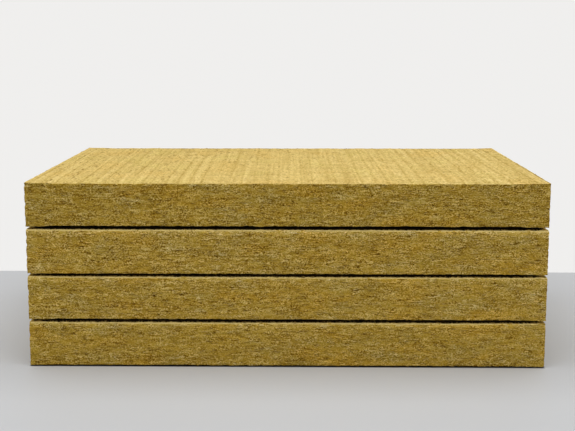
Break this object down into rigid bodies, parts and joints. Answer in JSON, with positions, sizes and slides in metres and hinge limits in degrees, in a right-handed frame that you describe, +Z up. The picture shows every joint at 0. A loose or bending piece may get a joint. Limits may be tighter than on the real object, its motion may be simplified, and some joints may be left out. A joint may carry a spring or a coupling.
{
  "type": "stack of mineral wool insulation slabs",
  "caption": "Flat stack of rigid stone-wool insulation slabs with sawn sides, belt-marked faces and narrow open joints between the slabs.",
  "frame": {"origin": "middle of the footprint, on the surface that the stack lies on", "axes": "+X along the slabs' long sides, +Y from the front to the back, +Z up through the stack"},
  "size_m": [1, 0.6, 0.364],
  "materials": {
    "stone_wool": "fibrous"
  },
  "bodies": {
    "root": {"slab_1": "stone_wool", "slab_2": "stone_wool", "slab_3": "stone_wool", "slab_4": "stone_wool"}
  },
  "joints": []
}
